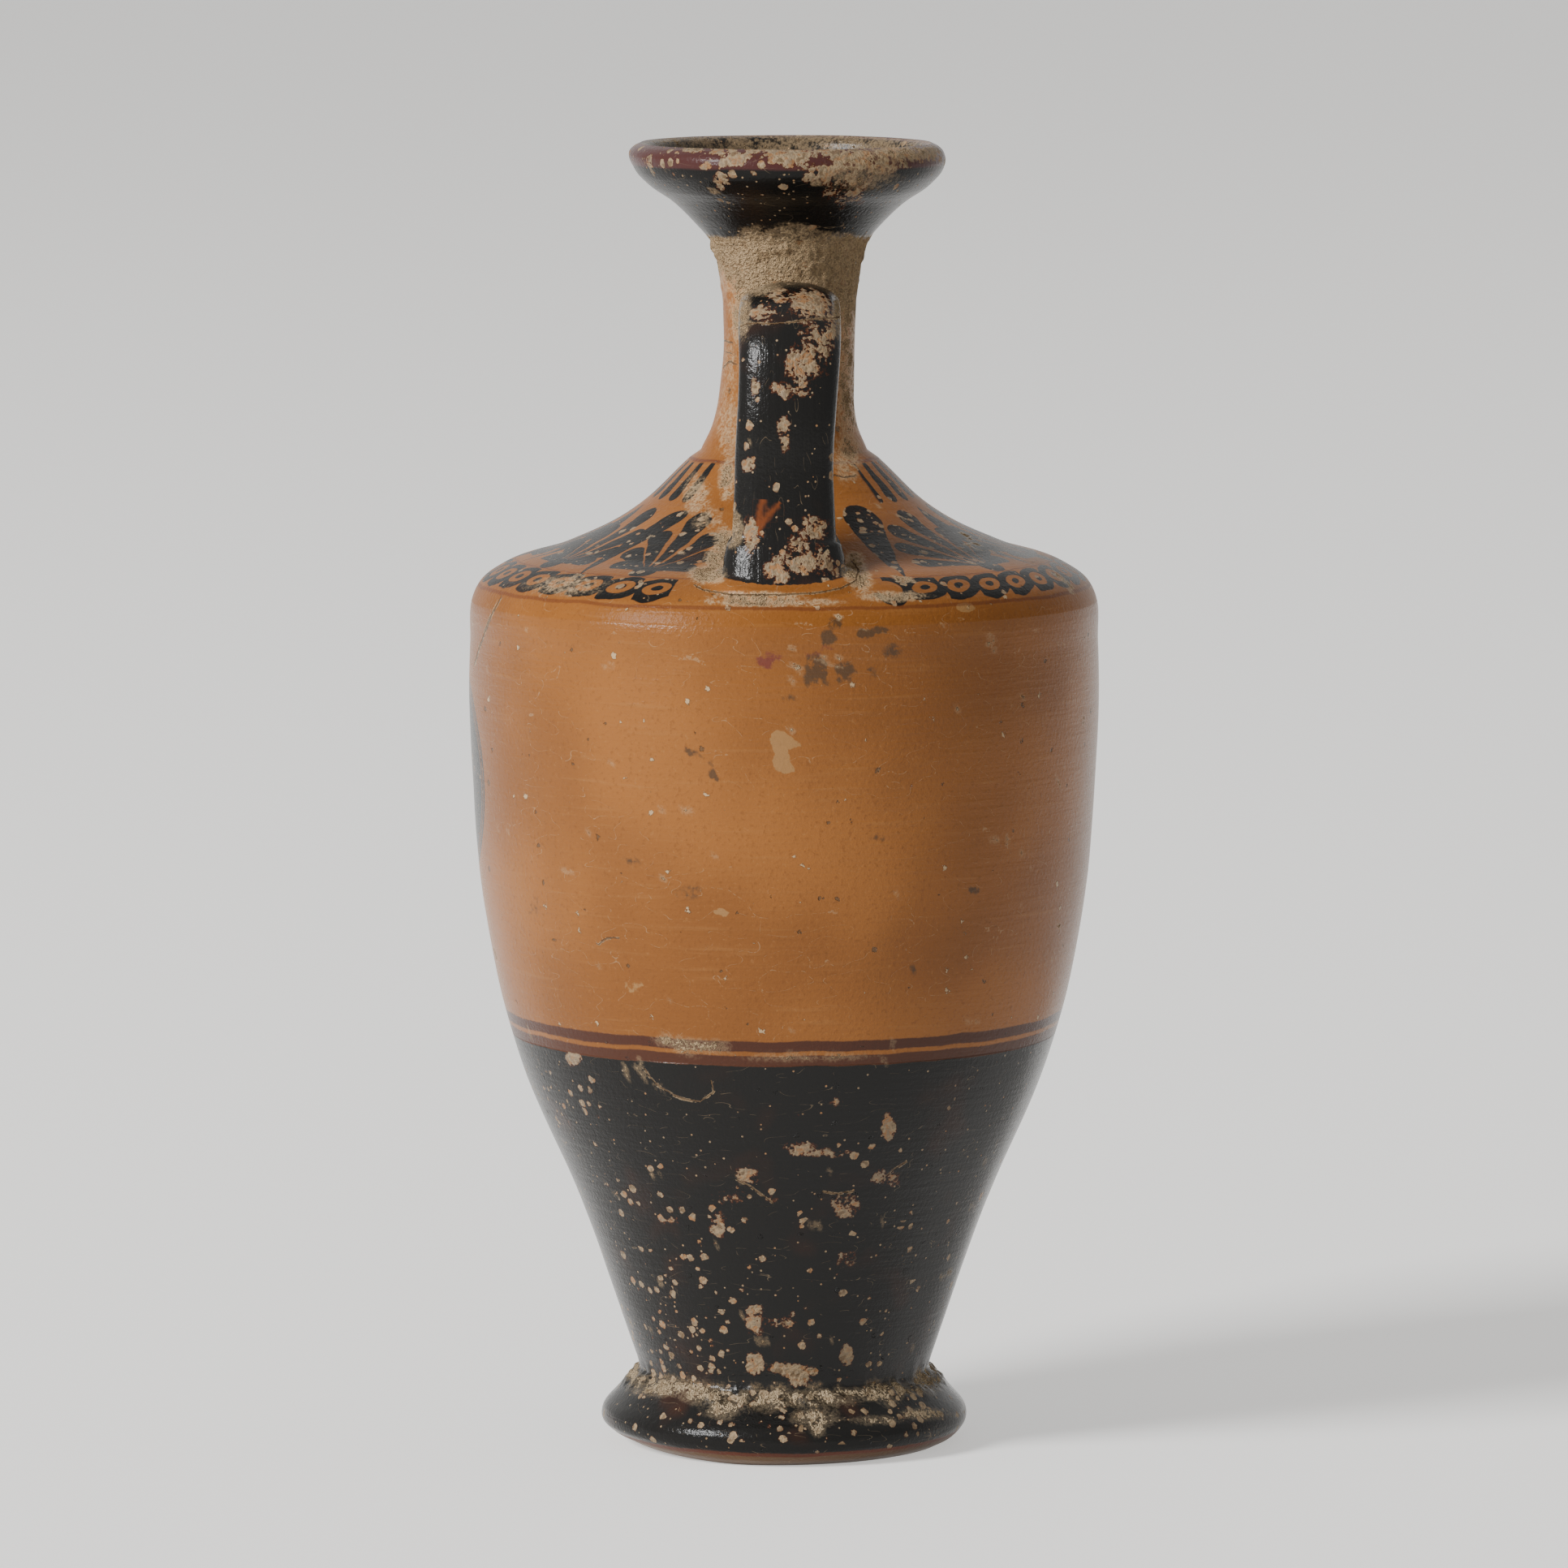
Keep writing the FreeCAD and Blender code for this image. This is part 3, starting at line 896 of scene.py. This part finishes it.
def draw_clay(place, specks, color, dark, pale, speck, pit):
    """Fired clay: cloudy, with the wheel's lines, fine grain and specks, some raised, some dark pits."""
    cloud = noise_at(place, 0.022, 2, 0.6)
    wheel = noise_at(stretch(place, (0.05, 0.05, 0.9), (7, 3, 1)), 1.0, 2, 0.65)
    grain = noise_at(place, 1.3, 2, 0.7)
    colour = blend(fade(cloud, 0.36, 0.64, 0.0, 0.62), color, dark)
    colour = blend(fade(wheel, 0.55, 0.80, 0.0, 0.22), colour, pale)
    colour = blend(fade(grain, 0.54, 0.72, 0.0, 0.48), colour, dark)
    colour = blend(fade(grain, 0.38, 0.26, 0.0, 0.30), colour, pale)
    far, random = cells_at(place, 0.30)
    spots = fade(random[0] * 0.55 - far - (grain - 0.5) * 1.8, -0.08, 0.08)
    spots = both(spots, maths("LESS_THAN", random[1], specks))
    raised = maths("GREATER_THAN", random[2], 0.38)
    colour = blend(spots * 0.85, colour, blend(raised, pit, speck))
    line = noise_at(stretch(place, (0.11, 0.11, 0.22), (5, 2, 8)), 1.0, 1, 0.5)
    line = fade(absolute(line - 0.5), 0.0045, 0.001)
    line = line * fade(grain, 0.46, 0.54) * fade(cloud, 0.40, 0.52)
    colour = blend(line * 0.28, colour, speck)
    height = (wheel - 0.5) * 0.12 + (grain - 0.5) * 0.10 + spots * (raised - 0.5) * 0.6
    return {"Color": colour, "Height": height}


def draw_slip(place, painted, bare, dots, specks, thin, relief, under, black, brown, lime, grey, earth):
    """Gloss slip over clay: thin and brown at its edges, chipped off in flakes, dots and specks."""
    field = noise_at(place, 0.42, 2, 0.55)
    ragged = noise_at(place, 1.3, 2, 0.65)
    grit = (field - 0.5) * 1.3 + (ragged - 0.5) * 1.1
    worn = bare + grit * (bare * 1.3 + 0.25)
    far, random = cells_at(place, 0.55)
    size = fade(random[0], 0.0, 1.0, 0.15, 0.85)
    chosen = maths("LESS_THAN", random[1], dots)
    dots = (size - far - (ragged - 0.5) * 0.9) * 1.3 * chosen + 0.5 * chosen
    speck_far, speck_random = cells_at(place, 1.2)
    specks = both(fade(speck_far, 0.30, 0.12), maths("LESS_THAN", speck_random[0], specks))
    lost = either(either(worn, dots), specks)
    flake = fade(lost, 0.48, 0.52)
    slip = painted * (1.0 - flake)
    dilute = either(fade(lost, 0.36, 0.47), fade(painted, 1.0, 0.55)) * 0.9
    cloud = noise_at(place, 0.07, 2, 0.6)
    coat = blend(either(dilute, fade(cloud, 0.55, 0.78) * thin), black, brown)
    chip = painted * flake
    tone = noise_at(stretch(place, (1, 1, 1), (31, 17, 5)), 0.6, 1, 0.6)
    under = blend(chip * fade(tone, 0.38, 0.52, 0.35, 1.0), under, lime)
    under = blend(chip * fade(ragged, 0.46, 0.60, 0.0, 0.8), under, grey)
    under = blend(chip * fade(tone, 0.56, 0.66, 0.0, 0.7), under, earth)
    scratch_field = noise_at(stretch(place, (0.10, 0.10, 0.35), (3, 9, 4)), 1.0, 1, 0.5)
    scratch = fade(absolute(scratch_field - 0.5), 0.0030, 0.0008) * fade(field, 0.50, 0.58)
    colour = blend(slip, under, coat)
    colour = blend(scratch * slip * 0.40, colour, lime)
    height = relief * (0.16 - flake * (0.16 - ragged * 0.3))
    return {"Color": colour, "Slip": slip, "Height": height}


def draw_crust(place, crust, film, under, lime, grey, earth):
    """Lime and earth left on the surface: lumpy, pale and dull, with ragged edges."""
    coarse = noise_at(place, 0.38, 2, 0.65)
    fine = noise_at(place, 1.7, 2, 0.75)
    amount = crust + ((coarse - 0.5) * 2.0 + (fine - 0.5) * 2.0) * (crust * 0.9 + 0.08)
    mask = fade(amount, 0.46, 0.54)
    film = fade(amount, 0.10, 0.46) * film
    colour = blend(fade(fine, 0.36, 0.56), grey, lime)
    colour = blend(fade(coarse, 0.54, 0.68, 0.0, 0.45), colour, earth)
    height = mask * (0.15 + (coarse - 0.5) * 1.4 + (fine - 0.5) * 2.0)
    colour = blend(either(mask * 0.95, film), under, colour)
    return {"Color": colour, "Mask": mask, "Height": height}


def draw_cracks(place, crack, under, edge, dark):
    """Hairline cracks along the lines kept on the mesh, with pale broken edges."""
    shake = noise_at(place, 1.0, 2, 0.6)
    gap = absolute(crack + (shake - 0.5) * 0.6)
    line = fade(gap, 0.18, 0.07)
    rim = fade(gap, 0.32, 0.14) * fade(shake, 0.46, 0.55)
    colour = blend(rim * 0.7, under, edge)
    colour = blend(line * 0.9, colour, dark)
    return {"Color": colour, "Height": line * -0.25 + rim * 0.05}


# Black paint round the handle's seat
seat_reach = 46.6
seat_half_width = 12.2
seat_half_depth = 5.6

# Painted ornament of the shoulder: angles in degrees from the handle towards +X, lengths in mm
first_heart_turn = 52.5
heart_period = 30.55
heart_reach = 46.8
heart_size = 2.6
petal_angle = 22.0
petal_length = 20.5
petal_fall = 3.6
petal_fall_at_handle = 1.6
petal_width = 2.45
first_bud_turn = 67.8
bud_base = 50.5
bud_length = 24.5
chain_reach = 52.5
chain_period = 8.047
tongue_period = 10.286
tongue_start = 13.0
tongue_low = 17.6
tongue_high = 24.6
tongue_width = 1.35

drop = "Along Across Length Width"
shader_group("around", "around_the_jar", draw_around, "Place", "", "", "Turn Reach Height")
shader_group("sway", "brush_sway", draw_sway, "Place", "Amount", "", "Sway")
shader_group("petal", "petal", draw_petal, "", drop, "", "Mask")
shader_group("leaf", "bud_leaf", draw_leaf, "", drop, "", "Mask")
shader_group("shoulder", "shoulder_ornament", draw_shoulder, "Place", "", "", "Black Line")
shader_group("clay", "fired_clay", draw_clay, "Place", "Specks", "Color Dark Pale Speck Pit",
             "Color Height")
shader_group("slip", "gloss_slip", draw_slip, "Place", "Painted Bare Dots Specks Thin Relief",
             "Under Black Brown Lime Grey Earth", "Color Slip Height")
shader_group("crust", "lime_crust", draw_crust, "Place", "Crust Film", "Under Lime Grey Earth",
             "Color Mask Height")
shader_group("cracks", "hairline_cracks", draw_cracks, "Place", "Crack", "Under Edge Dark", "Color Height")

# Painted levels, reaches and the roundel, in mm. A pair is a band, or where paint ends and begins
black_top = (76.5, 76.1)
lower_band = (76.2, 78.2)
upper_band = (79.0, 80.9)
edge_line = (158.6, 159.2)
lip_level = (235.2, 235.8)
lip_reach = (25.6, 26.4)
cup_black = (221.9, 222.3)
foot_line = (2.2, 3.1)
foot_black = (2.6, 3.1)
roundel_wall = 57
roundel_height = 124.5
roundel_edge = (17.7, 17.5)
roundel_rings = ((15.5, 15.8), (16.5, 16.8))

clay_colours = {
    "Color": orange_clay, "Dark": orange_dark, "Pale": orange_pale, "Speck": crust_pale, "Pit": earth_brown}
foot_colours = {
    "Color": foot_clay, "Dark": foot_dark, "Pale": lime_grey, "Speck": crust_pale, "Pit": earth_brown}
slip_colours = {"Brown": thin_gloss, "Lime": lime_tan, "Grey": lime_grey, "Earth": earth_brown}
crust_colours = {"Lime": crust_pale, "Grey": crust_grey, "Earth": crust_brown}
# Brighter crust colours for the foot's ridge: partly the crust's own colour, partly painted light
ridge_colours_painted_lit = {"Lime": ridge_pale_painted_lit, "Grey": ridge_grey_painted_lit, "Earth": crust_brown}


def swaying(place, amount):
    """Turn, reach and height round the jar, and how far the brush strayed."""
    around = use("around", Place=place)
    sway = use("sway", Place=place, Amount=amount)["Sway"]
    return around["Turn"], around["Reach"], around["Height"], sway


def slip_over(tree, place, under, painted, black=black_gloss, bare=0.0, dots=0.0, **given):
    """Slip over clay, lost where the mesh says so, and by so much more everywhere."""
    return use(
        "slip", Place=place, Under=under, Painted=painted, Black=black, Bare=read(tree, "bare") + bare,
        Dots=read(tree, "dots") + dots, **slip_colours, **given)


def worn_clay(tree, place, under, height, rough, film, colours=crust_colours):
    """Crust and cracks over what lies below, as every zone has them."""
    crust = use("crust", Place=place, Under=under, Crust=read(tree, "crust"), Film=film, **colours)
    cracks = use("cracks", Place=place, Under=crust["Color"], Crack=read(tree, "crack"),
                 Edge=crust_pale, Dark=earth_brown)
    rough = switch(crust["Mask"], rough, 0.88)
    return cracks["Color"], rough, height + crust["Height"] + cracks["Height"]


def stained_clay(tree, place):
    """Orange clay with the pale patches, the dark smudges and the purple strokes left on it."""
    clay = use("clay", Place=place, Specks=0.56, **clay_colours)
    blotch = noise_at(place, 0.7, 2, 0.7) - 0.5
    pale = read(tree, "pale")
    colour = blend(fade(pale + blotch * pale * 1.2, 0.42, 0.54, 0.0, 0.75), clay["Color"], pale_patch)
    stain = read(tree, "stain")
    colour = blend(fade(stain + blotch * (stain * 3.0), 0.22, 0.62, 0.0, 0.85), colour, smudge_brown)
    purple = read(tree, "purple")
    colour = blend(fade(purple + blotch * purple * 4.0, 0.20, 0.80, 0.0, 0.85), colour, purple_stroke)
    return colour, clay["Height"]


def dress_body(tree, place):
    """Orange clay with two bands, black below, and a roundel at one side."""
    turn, _, height, sway = swaying(place, 0.35)
    level = height + sway
    colour, relief = stained_clay(tree, place)
    colour = blend(within(level, *upper_band, 0.15) * 0.93, colour, band_maroon)
    colour = blend(within(level, *lower_band, 0.15) * 0.90, colour, band_maroon)
    far = span((turn + 90.0) * (roundel_wall * math.pi / 180), level - roundel_height)
    incised = either(*(within(far, *ring, 0.08) for ring in roundel_rings))
    disc = fade(far, *roundel_edge) * (1.0 - incised)
    slip = slip_over(
        tree, place, colour, either(fade(level, *black_top), disc),
        dots=fade(height, 70.0, 20.0, 0.02, 0.16), Specks=0.06, Thin=0.25, Relief=fade(height, *black_top))
    rough = switch(slip["Slip"], 0.27, 0.22)
    return worn_clay(tree, place, slip["Color"], relief + slip["Height"], rough, 0.25)


def dress_shoulder(tree, place):
    """Orange clay with the painted ornament, and black paint round the handle's seat."""
    colour, relief = stained_clay(tree, place)
    ornament = use("shoulder", Place=place)
    x, y, z = axes(place)
    sway = use("sway", Place=place, Amount=0.35)["Sway"]
    dilute = either(ornament["Line"] * 0.7, within(z + sway, *edge_line, 0.15) * 0.55)
    colour = blend(dilute, colour, red_brown)
    seat = span(x / seat_half_width, (y + seat_reach) / seat_half_depth)
    painted = either(ornament["Black"], fade(seat + sway * 0.1, 1.02, 0.97))
    slip = slip_over(tree, place, colour, painted, dots=0.10, Specks=0.06, Thin=0.25, Relief=0.0)
    rough = switch(slip["Slip"], 0.30, 0.25)
    return worn_clay(tree, place, slip["Color"], relief, rough, 0.7)


def dress_handle(tree, place):
    """Black slip brushed along the strap, much of it flaked away."""
    place = turned_up(place)
    clay = use("clay", Place=place, Specks=0.1, **clay_colours)
    slip = slip_over(tree, place, clay["Color"], 1.0, dots=0.06, Specks=0.08, Thin=0.6, Relief=1.0)
    smear = noise_at(place, 0.5, 2, 0.6) * 1.6 - 0.8
    streak = fade(absolute(read(tree, "streak")) + smear, 1.1, 0.0)
    colour = blend(streak * slip["Slip"] * 0.85, slip["Color"], streak_brown)
    rough = switch(slip["Slip"], 0.5, 0.20)
    return worn_clay(tree, place, colour, clay["Height"] + slip["Height"], rough, 0.4)


def dress_neck(tree, place):
    clay = use("clay", Place=place, Specks=0.4, **clay_colours)
    return worn_clay(tree, place, clay["Color"], clay["Height"], 0.35, 0.6)


def dress_mouth(tree, place):
    """Black cup and bowl with a worn purple lip."""
    _, reach, height, sway = swaying(place, 0.30)
    level = height + sway
    clay = use("clay", Place=place, Specks=0.2, **clay_colours)
    lip = both(fade(level, *lip_level), fade(reach, *lip_reach))
    slip = slip_over(
        tree, place, clay["Color"], fade(level, *cup_black), black=blend(lip, black_gloss, purple_red),
        bare=lip * 0.14, dots=lip * 0.25 + 0.10, Specks=0.12, Thin=0.2, Relief=1.0)
    rough = switch(slip["Slip"], 0.5, 0.27)
    return worn_clay(tree, place, slip["Color"], clay["Height"] + slip["Height"], rough, 0.4)


def dress_foot(tree, place):
    """Black above, plain clay on the lower edge, with a brown line between, and crust whose brighter
    colours are partly painted light.
    """
    _, _, height, sway = swaying(place, 0.30)
    level = height + sway
    clay = use("clay", Place=place, Specks=0.2, **foot_colours)
    colour = blend(within(level, *foot_line, 0.2) * 0.9, clay["Color"], red_brown)
    slip = slip_over(
        tree, place, colour, fade(level, *foot_black), bare=0.04, dots=0.10, Specks=0.10, Thin=0.5,
        Relief=1.0)
    rough = switch(slip["Slip"], 0.4, 0.20)
    # The foot's crust takes the brighter ridge colours, which are partly painted light
    return worn_clay(
        tree, place, slip["Color"], clay["Height"] + slip["Height"], rough, 0.15, ridge_colours_painted_lit)


def dress_bare(tree, place):
    clay = use("clay", Place=place, Specks=0.3, **clay_colours)
    return clay["Color"], 0.75, clay["Height"]


def finish_material(name, dress, gloss):
    """A material whose colour, roughness and relief the dress function draws."""
    material = bpy.data.materials.new(name)
    material.use_nodes = True
    tree = material.node_tree
    shader = tree.nodes["Principled BSDF"]
    shader.inputs["Specular IOR Level"].default_value = gloss
    spot = tree.nodes.new("ShaderNodeTexCoord")
    place = stretch(Value(tree, spot.outputs["Object"]), (1 / MM, 1 / MM, 1 / MM))
    colour, rough, height = dress(tree, place)
    plug(colour, shader.inputs["Base Color"])
    plug(rough, shader.inputs["Roughness"])
    bump = tree.nodes.new("ShaderNodeBump")
    bump.inputs["Distance"].default_value = MM
    plug(height, bump.inputs["Height"])
    tree.links.new(bump.outputs["Normal"], shader.inputs["Normal"])


# What draws each finish, with its gloss
dresses = (
    (dress_body, 0.21), (dress_shoulder, 0.07), (dress_handle, 0.16), (dress_neck, 0.10),
    (dress_mouth, 0.14), (dress_foot, 0.16), (dress_bare, 0.10))
for name, (dress, gloss) in zip(finishes, dresses):
    finish_material(name, dress, gloss)

jar = turned("lump", lump_lines)
carve(jar, shape_strap(), "UNION")
carve(jar, turned("room", room_lines), "DIFFERENCE")
jar.name = "lekythos_ware"
smooth_seams(jar, 3, 14)
weather(jar)
focal_pixels = (camera_target - camera_place).length / MM * pixels_per_mm
store_wear(jar, focal_pixels)
unwrap(jar)
select_only(jar)
bpy.ops.object.shade_smooth()
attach(jar, "root")
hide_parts("lekythos")

# The photograph's camera, which looks down a little at the jar's middle
bpy.ops.object.camera_add(location=camera_place)
camera = bpy.context.object
camera.rotation_euler = (camera_target - camera_place).to_track_quat("-Z", "Y").to_euler()
camera.data.sensor_width = sensor_width
camera.data.lens = sensor_width * focal_pixels / photo_width
camera.data.clip_end = 100
bpy.context.scene.camera = camera


# One large soft lamp at the left, like a window, and a pale world that fills the shadows
lamp_place = (-4.1, -2.9, 3.0)
lamp_size = 1.6
lamp_energy = 465
fill_strength = 0.25
backdrop_strength = 0.90
backdrop_colour = (1.0, 0.99, 0.97, 1)
paper_glow = 0.68
floor_size = 60

bpy.ops.object.light_add(type="AREA", location=lamp_place)
lamp = bpy.context.object
lamp.name = "window_light"
lamp.data.size = lamp_size
lamp.data.energy = lamp_energy
lamp.rotation_euler = (camera_target - lamp.location).to_track_quat("-Z", "Y").to_euler()


def seen_directly(tree):
    """1 for rays that show a thing to the camera, also in a reflection, and 0 for rays that light."""
    paths = tree.nodes.new("ShaderNodeLightPath")
    kinds = ("Is Camera Ray", "Is Glossy Ray", "Is Transmission Ray")
    seen, glossy, through = (Value(tree, paths.outputs[kind]) for kind in kinds)
    return either(either(seen, glossy), through)


# A pale floor without end, and a world as pale where it shows
bpy.ops.mesh.primitive_plane_add(size=floor_size, location=(0, 0, 0))
floor = bpy.context.object
floor.name = "floor"
paper = bpy.data.materials.new("pale_paper")
paper.use_nodes = True
sheet = paper.node_tree.nodes["Principled BSDF"].inputs
sheet["Base Color"].default_value = floor_pale
sheet["Roughness"].default_value = 0.9
sheet["Emission Color"].default_value = floor_pale
plug(seen_directly(paper.node_tree) * paper_glow, sheet["Emission Strength"])
floor.data.materials.append(paper)

world = bpy.data.worlds.new("studio")
world.use_nodes = True
background = world.node_tree.nodes["Background"].inputs
background["Color"].default_value = backdrop_colour
strength = fade(seen_directly(world.node_tree), 0.0, 1.0, fill_strength, backdrop_strength)
plug(strength, background["Strength"])
bpy.context.scene.world = world
